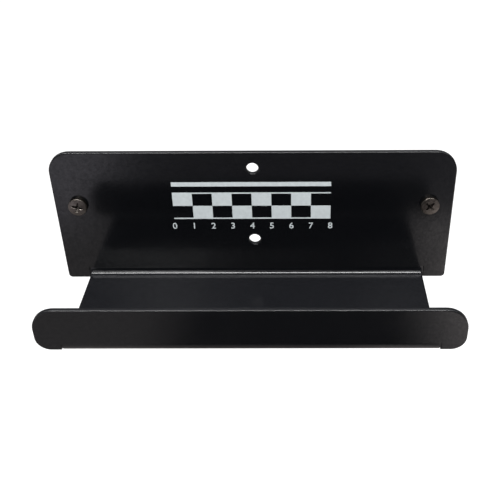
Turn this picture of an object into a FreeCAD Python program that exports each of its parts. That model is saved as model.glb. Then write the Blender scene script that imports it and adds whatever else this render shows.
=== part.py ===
import FreeCAD, Part
import math
import os

from FreeCAD import Vector

# Wall rack for hanging plan binders: one folded steel sheet and the two screws that hold it.
#
# The sheet is a back plate that lies on the wall, a shelf that comes forward from its lower edge, and an
# upright retaining lip. The shelf is narrower than the plate and the lip, so both stand past it as free
# ends, and the arms of a binder hanger drop through the notches that this leaves.
#
# Frame: millimetres, +Z up, +X along the rack, the wall on the +Y side. The origin is on the wall face, at
# the centre of the four mounting holes.

# ---- Folded sheet ----
sheet = 2.5                     # thickness of the steel
rack_width = 200.0              # plate and lip, end to end
rack_height = 73.5              # top edge of the plate to the underside of the shelf
channel_depth = 59.5            # plate to lip, inside
lip_height = 25.5               # underside of the shelf to the top edge of the lip
notch_depth = 12.0              # at each end, how far the plate and the lip stand past the shelf
bend_radius = 3.5               # inside of both bends
slit_width = 0.25               # relief slits that free the plate's and the lip's ends from the bends
slit_past_bend = 0.5            # how far a slit runs on above its bend
upper_corner_radius = 11.0      # upper corners of the plate and of the lip
plate_lower_corner_radius = 2.0
lip_lower_corner_radius = 7.0
edge_rounding = 0.4             # edges that hands and hangers meet: the plate's front and all of the lip
neck_rounding = 0.8             # upper edges of the neck, where a hanger's arms drop past it
deburr = 0.3                    # chamfer of the plate's wall side, and how wide its holes' rims are opened
deburr_slope = 30.0             # of the holes' rims, in degrees from the plate's face

# ---- Mounting holes ----
hole_drop = 29.2                # top edge of the plate to the line of the side holes
side_hole_inset = 11.75         # end of the plate to a side hole
centre_hole_spacing = 41.0      # one hole above and one below the line of the side holes
hole_clearance = 0.6            # radial, around a screw's thread

# ---- Wall screws ----
thread_diameter = 4.8           # over the thread, which runs from the head to the point
core_diameter = 3.6             # under the thread
screw_length = 30.0             # from under the head to the tip
point_length = 5.0
head_diameter = 9.5
head_side_height = 1.85         # upright side of the head
head_shoulder_radius = 0.5      # from the side to the crown
crown_rise = 0.15               # crown above the shoulder
recess_span = 5.4               # cross recess, wing tip to wing tip
recess_floor_span = 3.0
recess_wing_width = 1.1
recess_floor_width = 0.75
recess_wing_depth = 2.0         # all depths are below the crown
recess_core_diameter = 2.6      # cone at the middle of the cross
recess_core_floor_diameter = 1.0
recess_core_depth = 2.3
recess_flare = 0.1              # depth and widening of the recess's bevelled mouth
recess_entry = 0.2              # how far the cutters start above the crown
left_recess_turn = 15.0         # degrees clockwise from upright, seen from the front
right_recess_turn = 44.0

# ---- Places that follow ----
top = hole_drop
underside = top - rack_height
shelf_top = underside + sheet
lip_top = underside + lip_height
plate_front = -sheet
lip_back = plate_front - channel_depth
lip_front = lip_back - sheet
neck_width = rack_width - 2 * notch_depth       # shelf and both bends
slit_top = shelf_top + bend_radius + slit_past_bend
rounding = min(edge_rounding, 0.45 * sheet)
neck_fillet = min(neck_rounding, 0.45 * sheet)
chamfer = min(deburr, 0.45 * sheet)
hole_diameter = thread_diameter + 2 * hole_clearance

side_hole_x = rack_width / 2 - side_hole_inset
side_holes = [(-side_hole_x, 0.0), (side_hole_x, 0.0)]
centre_holes = [(0.0, -centre_hole_spacing / 2), (0.0, centre_hole_spacing / 2)]

same_place = 1e-6


def arc_through(centre, radius, start, end):
    """Arc in the XZ plane of its centre, from one angle to the other in degrees."""
    points = [centre + Vector(math.cos(a), 0, math.sin(a)) * radius
              for a in (math.radians(start), math.radians((start + end) / 2), math.radians(end))]
    return Part.Arc(*points).toShape()


def panel(z_low, z_high, lower_radius, upper_radius, y_front):
    """Upright piece of sheet as wide as the rack, with rounded corners."""
    half = rack_width / 2
    corners = [
        (Vector(half - upper_radius, y_front, z_high - upper_radius), upper_radius, 0),
        (Vector(-half + upper_radius, y_front, z_high - upper_radius), upper_radius, 90),
        (Vector(-half + lower_radius, y_front, z_low + lower_radius), lower_radius, 180),
        (Vector(half - lower_radius, y_front, z_low + lower_radius), lower_radius, 270),
    ]
    arcs = [arc_through(centre, radius, start, start + 90) for centre, radius, start in corners]
    sides = []
    for this, following in zip(arcs, arcs[1:] + arcs[:1]):
        sides.append(this)
        sides.append(Part.makeLine(this.lastVertex().Point, following.firstVertex().Point))
    return Part.Face(Part.Wire(sides)).extrude(Vector(0, sheet, 0))


def edges_at(solid, direction, place):
    """Edges that lie in the plane at one place along an axis, "X", "Y" or "Z"."""
    return [edge for edge in solid.Edges
            if all(abs(getattr(vertex, direction) - place) < same_place for vertex in edge.Vertexes)]


def drill(x, z):
    """Cutter for one hole through the plate, with its deburred rims."""
    radius = hole_diameter / 2
    rim_depth = chamfer * math.tan(math.radians(deburr_slope))
    back, forward = Vector(0, 1, 0), Vector(0, -1, 0)
    bore = Part.makeCylinder(radius, sheet, Vector(x, plate_front, z), back)
    rims = [Part.makeCone(radius + chamfer, radius, rim_depth, Vector(x, plate_front, z), back),
            Part.makeCone(radius + chamfer, radius, rim_depth, Vector(x, 0, z), forward)]
    return bore.fuse(rims)


def neck_gap(z_low, z_high, y_front):
    """What is cut from a panel's middle, so that the neck and its two slits fit there."""
    width = neck_width + 2 * slit_width
    return Part.makeBox(width, sheet, z_high - z_low, Vector(-width / 2, y_front, z_low))


def make_plate():
    plate = panel(underside, top, plate_lower_corner_radius, upper_corner_radius, plate_front)
    plate = plate.makeFillet(rounding, edges_at(plate, "Y", plate_front))
    plate = plate.makeChamfer(chamfer, edges_at(plate, "Y", 0.0))
    cutters = [drill(x, z) for x, z in side_holes + centre_holes]
    return plate.cut(cutters + [neck_gap(underside, slit_top, plate_front)])


def make_lip():
    """The lip's free ends stop level with the top of the shelf."""
    lip = panel(shelf_top, lip_top, lip_lower_corner_radius, upper_corner_radius, lip_front)
    lip = lip.makeFillet(rounding, edges_at(lip, "Y", lip_front) + edges_at(lip, "Y", lip_back))
    return lip.cut(neck_gap(shelf_top, slit_top, lip_front))


def neck_side(offset):
    """One side of the folded strip from the plate to the lip, at its inner face moved out by offset."""
    x = -neck_width / 2
    radius = bend_radius + offset
    y_plate, y_lip, z = plate_front + offset, lip_back - offset, shelf_top - offset
    diagonal = radius * (1 - math.sqrt(0.5))

    def point(y, height):
        return Vector(x, y, height)

    return [
        Part.makeLine(point(y_plate, slit_top), point(y_plate, z + radius)),
        Part.Arc(point(y_plate, z + radius), point(y_plate - diagonal, z + diagonal),
                 point(y_plate - radius, z)).toShape(),
        Part.makeLine(point(y_plate - radius, z), point(y_lip + radius, z)),
        Part.Arc(point(y_lip + radius, z), point(y_lip + diagonal, z + diagonal),
                 point(y_lip, z + radius)).toShape(),
        Part.makeLine(point(y_lip, z + radius), point(y_lip, slit_top)),
    ]


def make_neck():
    """Shelf and both bends, up to where they join the plate and the lip."""
    inner, outer = neck_side(0.0), neck_side(sheet)
    ends = [Part.makeLine(inner[0].firstVertex().Point, outer[0].firstVertex().Point),
            Part.makeLine(inner[-1].lastVertex().Point, outer[-1].lastVertex().Point)]
    section = Part.Face(Part.Wire(Part.sortEdges(inner + outer + ends)[0]))
    neck = section.extrude(Vector(neck_width, 0, 0))
    upper = edges_at(neck, "Z", shelf_top)
    rims = [edge for edge in edges_at(neck, "X", -neck_width / 2) + edges_at(neck, "X", neck_width / 2)
            if any(edge.isSame(other) for other in upper)]
    return neck.makeFillet(neck_fillet, rims)


def make_rack_body():
    return make_plate().fuse([make_neck(), make_lip()]).removeSplitter()


def head_outline():
    """Head's crown and shoulder in the plane of X (radius) and Z (height above its seat), and its height."""
    height = head_side_height + head_shoulder_radius + crown_rise
    reach = head_diameter / 2 - head_shoulder_radius
    crown_radius = (reach ** 2 + 2 * head_shoulder_radius * crown_rise + crown_rise ** 2) / (2 * crown_rise)
    shoulder_centre = Vector(reach, 0, head_side_height)
    crown_centre = Vector(0, 0, height - crown_radius)
    towards = shoulder_centre - crown_centre
    blend = math.degrees(math.atan2(towards.z, towards.x))
    crown = arc_through(crown_centre, crown_radius, 90, blend)
    shoulder = arc_through(shoulder_centre, head_shoulder_radius, blend, 0)
    return [crown, shoulder], height


def tapered_slot(span, width, floor_span, floor_width, high, low):
    """Upright block with flat sides that narrow from one height down to the other."""
    block = Part.makeWedge(-floor_span / 2, low, -floor_width / 2, -width / 2, -span / 2,
                           floor_span / 2, high, floor_width / 2, width / 2, span / 2)
    block.rotate(Vector(0, 0, 0), Vector(1, 0, 0), 90)
    return block


def make_recess(crown_height):
    """Cutter for the cross recess: two tapered slots with bevelled mouths, and the cone between them."""
    mouth = crown_height - recess_flare
    widening = 2 * (recess_flare + recess_entry)
    flare = tapered_slot(recess_span + widening, recess_wing_width + widening, recess_span, recess_wing_width,
                         crown_height + recess_entry, mouth)
    slot = tapered_slot(recess_span, recess_wing_width, recess_floor_span, recess_floor_width, mouth,
                        crown_height - recess_wing_depth).fuse(flare)
    across = slot.copy()
    across.rotate(Vector(0, 0, 0), Vector(0, 0, 1), 90)
    core = Part.makeCone(recess_core_floor_diameter / 2, recess_core_diameter / 2,
                         recess_entry + recess_core_depth, Vector(0, 0, crown_height - recess_core_depth))
    return slot.fuse([across, core])


def make_screw(x, z, recess_turn):
    """Pan-head screw seated on the plate, its axis along Y and its tip in the wall."""
    crown_and_shoulder, crown_height = head_outline()
    corners = [
        Vector(head_diameter / 2, 0, head_side_height),
        Vector(head_diameter / 2, 0, 0),
        Vector(core_diameter / 2, 0, 0),
        Vector(core_diameter / 2, 0, point_length - screw_length),
        Vector(0, 0, -screw_length),
        Vector(0, 0, crown_height),
    ]
    sides = [Part.makeLine(a, b) for a, b in zip(corners, corners[1:])]
    section = Part.Face(Part.Wire(Part.sortEdges(crown_and_shoulder + sides)[0]))
    screw = section.revolve(Vector(0, 0, 0), Vector(0, 0, 1), 360).cut(make_recess(crown_height))
    screw.rotate(Vector(0, 0, 0), Vector(0, 0, 1), -recess_turn)
    screw.rotate(Vector(0, 0, 0), Vector(1, 0, 0), 90)
    screw.translate(Vector(x, plate_front, z))
    return screw


os.makedirs("parts", exist_ok=True)
make_rack_body().exportStep("parts/rack_body.step")
for name, (x, z), turn in zip(("left_wall_screw", "right_wall_screw"), side_holes,
                              (left_recess_turn, right_recess_turn)):
    make_screw(x, z, turn).exportStep("parts/" + name + ".step")
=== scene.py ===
import math

import bmesh
import bpy
from mathutils import Matrix, Vector


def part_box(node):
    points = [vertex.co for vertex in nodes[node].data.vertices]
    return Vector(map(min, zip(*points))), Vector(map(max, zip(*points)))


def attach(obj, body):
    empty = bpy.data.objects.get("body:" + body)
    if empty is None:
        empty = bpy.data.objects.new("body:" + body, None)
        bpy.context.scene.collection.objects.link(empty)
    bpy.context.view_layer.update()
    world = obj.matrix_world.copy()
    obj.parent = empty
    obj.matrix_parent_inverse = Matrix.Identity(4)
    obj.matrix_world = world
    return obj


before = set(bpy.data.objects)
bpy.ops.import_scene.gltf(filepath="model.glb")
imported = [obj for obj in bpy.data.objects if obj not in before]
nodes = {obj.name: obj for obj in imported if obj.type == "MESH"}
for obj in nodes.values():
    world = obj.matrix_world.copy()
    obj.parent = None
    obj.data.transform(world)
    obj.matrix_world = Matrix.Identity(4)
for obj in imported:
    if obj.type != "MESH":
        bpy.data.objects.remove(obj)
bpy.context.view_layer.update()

mm = 0.001
plate_front_y = -2.5 * mm
screws = ("left_wall_screw", "right_wall_screw")


# ---- Camera ----

image_width_px = 500
principal_x_px = 289.3          # the lens axis meets the picture right of its middle
focal_px = 783.7
sensor_width_mm = 36.0
camera_place = (0.0217, -0.3427, 0.1992)
camera_pitch = 33.65            # degrees down from level
camera_heading = -0.67          # degrees to the right of straight at the wall
camera_roll = -0.52             # degrees


def make_camera():
    data = bpy.data.cameras.new("camera")
    data.sensor_width = sensor_width_mm
    data.lens = focal_px / image_width_px * sensor_width_mm
    data.shift_x = 0.5 - principal_x_px / image_width_px
    camera = bpy.data.objects.new("camera", data)
    bpy.context.scene.collection.objects.link(camera)
    turn = (Matrix.Rotation(math.radians(-camera_heading), 4, "Z")
            @ Matrix.Rotation(math.radians(90 - camera_pitch), 4, "X")
            @ Matrix.Rotation(math.radians(camera_roll), 4, "Z"))
    camera.matrix_world = Matrix.Translation(camera_place) @ turn
    bpy.context.scene.camera = camera


# ---- Materials ----

# A pair of colours is the darkest and the lightest of a mottled surface.
coat_tones = (0.0028, 0.0031, 0.0039), (0.0040, 0.0043, 0.0053)
# Painted sheen: this lighter pair is the coat drawn lighter where it faces up, standing in for
# reflected light.
painted_sheen_tones = (0.0080, 0.0084, 0.0101), (0.0118, 0.0122, 0.0145)
coat_roughness = 0.12, 0.18
coat_specular = 0.36, 0.64
film_radius = 0.7 * mm          # how far from an edge the film rounds its sheen
film_samples = 8
steel_colours = (0.112, 0.098, 0.086), (0.200, 0.180, 0.163)
steel_roughness = 0.25, 0.40
ink_colours = (0.54, 0.585, 0.60), (0.61, 0.66, 0.675)
ink_roughness = 0.42
noise_span = 0.3, 0.7           # what a noise mostly stays within
painted_sheen_span = 0.6, 0.95           # upward part of the normal where the painted sheen begins, and where it is full


def new_material(name):
    material = bpy.data.materials.new(name)
    material.use_nodes = True
    tree = material.node_tree
    return material, tree, tree.nodes["Principled BSDF"]


def object_coordinates(tree):
    return tree.nodes.new("ShaderNodeTexCoord").outputs["Object"]


def add_noise(tree, coordinates, scale, detail=3.0, roughness=0.5):
    noise = tree.nodes.new("ShaderNodeTexNoise")
    noise.inputs["Scale"].default_value = scale
    noise.inputs["Detail"].default_value = detail
    noise.inputs["Roughness"].default_value = roughness
    tree.links.new(coordinates, noise.inputs["Vector"])
    return noise.outputs["Fac"]


def add_range(tree, value, low, high, span=noise_span):
    """Pass the value's span on as low to high."""
    ranged = tree.nodes.new("ShaderNodeMapRange")
    ranged.inputs["From Min"].default_value, ranged.inputs["From Max"].default_value = span
    ranged.inputs["To Min"].default_value = low
    ranged.inputs["To Max"].default_value = high
    tree.links.new(value, ranged.inputs["Value"])
    return ranged.outputs["Result"]


def add_mix(tree, factor, low, high):
    """Mix two colours, each a triple of numbers or another node's output."""
    mix = tree.nodes.new("ShaderNodeMix")
    mix.data_type = "RGBA"
    tree.links.new(factor, mix.inputs["Factor"])
    for name, colour in (("A", low), ("B", high)):
        if isinstance(colour, tuple):
            mix.inputs[name].default_value = (*colour, 1.0)
        else:
            tree.links.new(colour, mix.inputs[name])
    return mix.outputs["Result"]


def mottle(tree, noise, colours):
    return add_mix(tree, add_range(tree, noise, 0.0, 1.0), *colours)


def facing_up(tree):
    """0 on upright faces, 1 on level ones that face up."""
    normal = tree.nodes.new("ShaderNodeSeparateXYZ")
    tree.links.new(tree.nodes.new("ShaderNodeTexCoord").outputs["Normal"], normal.inputs[0])
    return add_range(tree, normal.outputs["Z"], 0.0, 1.0, painted_sheen_span)


def add_bump(tree, height, strength, distance, previous=None):
    bump = tree.nodes.new("ShaderNodeBump")
    bump.inputs["Strength"].default_value = strength
    bump.inputs["Distance"].default_value = distance
    tree.links.new(height, bump.inputs["Height"])
    if previous:
        tree.links.new(previous, bump.inputs["Normal"])
    return bump.outputs["Normal"]


def powder_coat():
    """Smooth black powder coat: faint orange peel, uneven gloss, and a painted sheen that lightens
    what faces up.
    """
    material, tree, shader = new_material("black_powder_coat")
    place = object_coordinates(tree)
    cloud = add_noise(tree, place, scale=45.0)
    grain = add_noise(tree, place, scale=900.0, detail=2.0)
    peel = add_noise(tree, place, scale=420.0, detail=1.0)
    speck = add_noise(tree, place, scale=650.0, detail=4.0, roughness=0.7)
    bare_tone, sheen_tone = mottle(tree, grain, coat_tones), mottle(tree, grain, painted_sheen_tones)
    # Painted sheen: what faces up is drawn in the lighter pair, standing in for the light it reflects.
    tree.links.new(add_mix(tree, facing_up(tree), bare_tone, sheen_tone), shader.inputs["Base Color"])
    tree.links.new(add_range(tree, cloud, *coat_roughness), shader.inputs["Roughness"])
    tree.links.new(add_range(tree, speck, *coat_specular), shader.inputs["Specular IOR Level"])
    film = tree.nodes.new("ShaderNodeBevel")
    film.samples = film_samples
    film.inputs["Radius"].default_value = film_radius
    soft = add_bump(tree, peel, strength=0.10, distance=0.08 * mm, previous=film.outputs["Normal"])
    rough = add_bump(tree, grain, strength=0.15, distance=0.03 * mm, previous=soft)
    tree.links.new(rough, shader.inputs["Normal"])
    return material


def screw_steel():
    """Steel darkened brown-grey, with a fine grain and a patina in darker patches."""
    material, tree, shader = new_material("screw_steel")
    place = object_coordinates(tree)
    patina = add_noise(tree, place, scale=700.0)
    grain = add_noise(tree, place, scale=3500.0, detail=2.0)
    shader.inputs["Metallic"].default_value = 1.0
    tree.links.new(mottle(tree, patina, steel_colours), shader.inputs["Base Color"])
    tree.links.new(add_range(tree, grain, *steel_roughness), shader.inputs["Roughness"])
    tree.links.new(add_bump(tree, grain, strength=0.25, distance=0.02 * mm), shader.inputs["Normal"])
    return material


def white_ink():
    """Screen-printed white ink, a little uneven over the coat."""
    material, tree, shader = new_material("white_print")
    cover = add_noise(tree, object_coordinates(tree), scale=600.0, detail=4.0)
    shader.inputs["Roughness"].default_value = ink_roughness
    tree.links.new(mottle(tree, cover, ink_colours), shader.inputs["Base Color"])
    tree.links.new(add_bump(tree, cover, strength=0.2, distance=0.01 * mm), shader.inputs["Normal"])
    return material


def paint(obj, material):
    if obj.data.materials:
        for index in range(len(obj.data.materials)):
            obj.data.materials[index] = material
    else:
        obj.data.materials.append(material)


# ---- Pieces ----

def mesh_object(name, build, material):
    """A new mesh piece that rides on the rack; build fills a bmesh in metres."""
    work = bmesh.new()
    build(work)
    bmesh.ops.recalc_face_normals(work, faces=work.faces)
    mesh = bpy.data.meshes.new(name)
    work.to_mesh(mesh)
    work.free()
    obj = bpy.data.objects.new(name, mesh)
    bpy.context.scene.collection.objects.link(obj)
    paint(obj, material)
    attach(obj, "root")
    return obj


# The print: a plain rule over a bar of numbered divisions. They are a pattern, not a measure.
print_left = -40.6 * mm
print_right = 38.7 * mm
rule_top = 13.05 * mm
rule_bottom = 10.65 * mm
bar_top = 7.2 * mm
bar_bottom = -8.1 * mm
bar_divisions = 8
bar_frame = 0.7 * mm
division_width = (print_right - print_left) / bar_divisions
number_height = 3.6 * mm
number_base = -13.9 * mm
number_spread = 0.05 * mm       # by which the ink widens each stroke on either side
number_resolution = 6
figure_share = 0.73             # a figure's height as a share of the font's size
ink_thickness = 0.03 * mm
weld_distance = 0.001 * mm


def slab(work, left, right, bottom, top):
    """Thin closed block of ink on the plate."""
    centre = Vector(((left + right) / 2, plate_front_y - ink_thickness / 2, (bottom + top) / 2))
    size = Vector((right - left, ink_thickness, top - bottom))
    placed = Matrix.Translation(centre) @ Matrix.Diagonal((*size, 1.0))
    bmesh.ops.create_cube(work, size=1.0, matrix=placed)


def build_rule(work):
    slab(work, print_left, print_right, rule_bottom, rule_top)


def build_scale_bar(work):
    """Each division has a block of ink in one row and, along the other's far edge, a thin line."""
    middle = (bar_top + bar_bottom) / 2
    for division in range(bar_divisions):
        left = print_left + division * division_width
        if division % 2 == 0:
            block, line = (middle, bar_top), (bar_bottom, bar_bottom + bar_frame)
        else:
            block, line = (bar_bottom, middle), (bar_top - bar_frame, bar_top)
        slab(work, left, left + division_width, *block)
        slab(work, left, left + division_width, *line)


def build_numbers(work):
    for number in range(bar_divisions + 1):
        curve = bpy.data.curves.new("number", "FONT")
        curve.body = str(number)
        curve.size = number_height / figure_share
        curve.align_x = "CENTER"
        curve.extrude = ink_thickness / 2
        curve.offset = number_spread
        curve.resolution_u = number_resolution
        text = bpy.data.objects.new("number", curve)
        mesh = bpy.data.meshes.new_from_object(text)
        place = (print_left + number * division_width, plate_front_y - ink_thickness / 2, number_base)
        mesh.transform(Matrix.Translation(place) @ Matrix.Rotation(math.radians(90), 4, "X"))
        work.from_mesh(mesh)
        bpy.data.objects.remove(text)
        bpy.data.curves.remove(curve)
        bpy.data.meshes.remove(mesh)
    bmesh.ops.remove_doubles(work, verts=work.verts, dist=weld_distance)


# The screws' thread: one ridge wound from under the head to the tip.
thread_pitch = 1.6 * mm
thread_radius = 2.4 * mm
core_radius = 1.8 * mm
thread_start = 1.2 * mm         # below the head
thread_stop = 0.4 * mm          # short of the tip
point_length = 5.0 * mm
ridge_half_width = 0.42 * mm
crest_half_width = 0.05 * mm
root_depth = 0.06 * mm          # by which the ridge sinks into the core
least_height = 0.05             # the ridge's height at its ends, as a share of its full height
steps_per_turn = 28
run_out_turns = 0.75


def thread_builder(node):
    low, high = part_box(node)
    x, z = (low.x + high.x) / 2, (low.z + high.z) / 2
    tip = high.y
    along = Vector((0, ridge_half_width, 0))
    flat = Vector((0, crest_half_width, 0))

    def build(work):
        start = plate_front_y + thread_start
        turns = (tip - thread_stop - start) / thread_pitch
        rings = []
        for step in range(int(turns * steps_per_turn) + 1):
            turn = step / steps_per_turn
            y = start + turn * thread_pitch
            core = core_radius * min(1.0, (tip - y) / point_length)
            fade = min(1.0, turn / run_out_turns, (turns - turn) / run_out_turns)
            height = (thread_radius - core_radius) * (least_height + (1 - least_height) * fade)
            angle = 2 * math.pi * turn
            across = Vector((math.cos(angle), 0, -math.sin(angle)))
            axis_point = Vector((x, y, z))
            root = axis_point + across * (core - root_depth)
            crest = axis_point + across * (core + height)
            profile = (root - along, crest - flat, crest + flat, root + along)
            rings.append([work.verts.new(point) for point in profile])
        for this, following in zip(rings, rings[1:]):
            for a in range(4):
                b = (a + 1) % 4
                work.faces.new((this[a], this[b], following[b], following[a]))
        work.faces.new(rings[0])
        work.faces.new(rings[-1])
    return build


# ---- Studio ----

floor_z = -0.60
floor_size = 14.0
floor_albedo = 0.60
floor_roughness = 0.9
floor_lift = 0.70               # added to the floor's white where it is seen or mirrored
fill_level = 0.62
softbox_place = (-0.10, -0.65, 1.10)    # level, facing down
softbox_size = (1.40, 0.24)
softbox_watts = 23.0
white_rays = ("Is Camera Ray", "Is Glossy Ray", "Is Transmission Ray")

# The cards stand round the rack as a room would. The camera and the diffuse light pass them by and
# they cast no shadow, so they only set what the gloss mirrors.
far = 3.0                       # from the middle to either side
front, back, ceiling_z = -1.7, 1.5, 2.2
card_floor = floor_z + 0.01     # just above the floor
window_y = front + 0.01         # just inside the front card
back_split_z = 1.3
ceiling_split_y = 0.1
near_split_y, far_split_y = -0.45, -0.95
level_blend = 0.08              # width over which one level passes into the next
neutral, warm, cool = (1.0, 1.0, 1.0), (1.05, 0.98, 0.97), (1.0, 0.96, 1.06)


def level_corners(z, near_y, far_y):
    return [(-far, far_y, z), (far, far_y, z), (far, near_y, z), (-far, near_y, z)]


def wall_corners(y, left, right, low, high):
    return [(left, y, low), (right, y, low), (right, y, high), (left, y, high)]


def side_corners(x):
    return [(x, front, card_floor), (x, back, card_floor), (x, back, ceiling_z), (x, front, ceiling_z)]


def plain(level):
    """One level all over, so the middle may begin and end anywhere."""
    return (level, level, level), (-1.0, 1.0), neutral


# Each is (name, four corners, levels at its left, middle and right, x where the middle begins and
# ends, tint).
cards = [
    ("near_floor_card", level_corners(card_floor, near_split_y, far_split_y),
     (0.35, 0.03, 1.18), (-0.18, 0.245), warm),
    ("far_floor_card", level_corners(card_floor, far_split_y, front),
     (0.88, 0.14, 0.26), (-0.38, 0.33), cool),
    ("under_card", level_corners(card_floor, back, near_split_y),
     (0.38, 0.24, 0.52), (-0.14, 0.11), warm),
    ("front_card", wall_corners(front, -far, far, card_floor, ceiling_z), *plain(0.10)),
    ("window_card", wall_corners(window_y, -0.52, -0.29, 1.15, ceiling_z), *plain(4.5)),
    ("low_window_card", wall_corners(window_y, -0.62, 0.10, 0.85, 1.08),
     (6.5, 1.6, 1.6), (-0.26, 1.0), neutral),
    ("right_window_card", wall_corners(window_y, 0.25, 0.50, 1.15, ceiling_z), *plain(3.0)),
    ("back_card", wall_corners(back, -far, far, card_floor, back_split_z), *plain(0.12)),
    ("high_back_card", wall_corners(back, -far, far, back_split_z, ceiling_z), *plain(0.80)),
    ("left_side_card", side_corners(-far), *plain(0.35)),
    ("right_side_card", side_corners(far), *plain(0.35)),
    ("front_ceiling_card", level_corners(ceiling_z, ceiling_split_y, front), *plain(0.10)),
    ("back_ceiling_card", level_corners(ceiling_z, back, ceiling_split_y), *plain(2.8)),
]


def stage_mesh(name, corners, material):
    mesh = bpy.data.meshes.new(name)
    mesh.from_pydata(corners, [], [range(len(corners))])
    mesh.materials.append(material)
    obj = bpy.data.objects.new(name, mesh)
    bpy.context.scene.collection.objects.link(obj)
    return obj


def seen_rays(tree, names):
    """1 for the named kinds of ray, 0 for the rest."""
    path = tree.nodes.new("ShaderNodeLightPath")
    seen = path.outputs[names[0]]
    for name in names[1:]:
        either = tree.nodes.new("ShaderNodeMath")
        either.operation = "MAXIMUM"
        tree.links.new(seen, either.inputs[0])
        tree.links.new(path.outputs[name], either.inputs[1])
        seen = either.outputs[0]
    return seen


def make_floor():
    material, tree, shader = new_material("floor")
    shader.inputs["Base Color"].default_value = (floor_albedo, floor_albedo, floor_albedo, 1.0)
    shader.inputs["Roughness"].default_value = floor_roughness
    shader.inputs["Specular IOR Level"].default_value = 0.0
    shader.inputs["Emission Color"].default_value = (1.0, 1.0, 1.0, 1.0)
    lift = tree.nodes.new("ShaderNodeMath")
    lift.operation = "MULTIPLY"
    lift.inputs[1].default_value = floor_lift
    tree.links.new(seen_rays(tree, white_rays), lift.inputs[0])
    tree.links.new(lift.outputs[0], shader.inputs["Emission Strength"])
    half = floor_size / 2
    corners = [(-half, -half, floor_z), (half, -half, floor_z),
               (half, half, floor_z), (-half, half, floor_z)]
    stage_mesh("floor", corners, material)


def make_card(name, corners, levels, middle_edges, tint):
    material, tree, shader = new_material(name)
    shader.inputs["Base Color"].default_value = (0.0, 0.0, 0.0, 1.0)
    shader.inputs["Specular IOR Level"].default_value = 0.0
    shader.inputs["Emission Color"].default_value = (*tint, 1.0)
    place = tree.nodes.new("ShaderNodeSeparateXYZ")
    tree.links.new(object_coordinates(tree), place.inputs[0])
    left, middle, right = levels
    total = tree.nodes.new("ShaderNodeMath")
    total.operation = "ADD"
    for (before, after), edge, part in zip(((left - middle, 0.0), (middle, right)),
                                           middle_edges, total.inputs):
        span = edge - level_blend / 2, edge + level_blend / 2
        tree.links.new(add_range(tree, place.outputs["X"], before, after, span), part)
    tree.links.new(total.outputs[0], shader.inputs["Emission Strength"])
    card = stage_mesh(name, corners, material)
    card.visible_camera = False
    card.visible_diffuse = False
    card.visible_shadow = False


def make_softbox():
    data = bpy.data.lights.new("softbox", "AREA")
    data.shape = "RECTANGLE"
    data.size, data.size_y = softbox_size
    data.energy = softbox_watts
    light = bpy.data.objects.new("softbox", data)
    light.visible_camera = False
    bpy.context.scene.collection.objects.link(light)
    light.location = softbox_place


def make_world():
    """White to the camera, to gloss and to glass; a soft grey fill for the rest."""
    world = bpy.data.worlds.new("studio")
    bpy.context.scene.world = world
    world.use_nodes = True
    tree = world.node_tree
    fill = (fill_level, fill_level, fill_level)
    colour = add_mix(tree, seen_rays(tree, white_rays), fill, (1.0, 1.0, 1.0))
    tree.links.new(colour, tree.nodes["Background"].inputs["Color"])


make_camera()
coat, steel, ink = powder_coat(), screw_steel(), white_ink()
paint(nodes["rack_body"], coat)
for screw in screws:
    paint(nodes[screw], steel)
    side = screw.split("_")[0]
    mesh_object(side + "_screw_thread", thread_builder(screw), steel)
mesh_object("print_rule", build_rule, ink)
mesh_object("print_scale_bar", build_scale_bar, ink)
mesh_object("print_numbers", build_numbers, ink)
make_floor()
for card in cards:
    make_card(*card)
make_softbox()
make_world()

bpy.context.scene.view_settings.view_transform = "Standard"
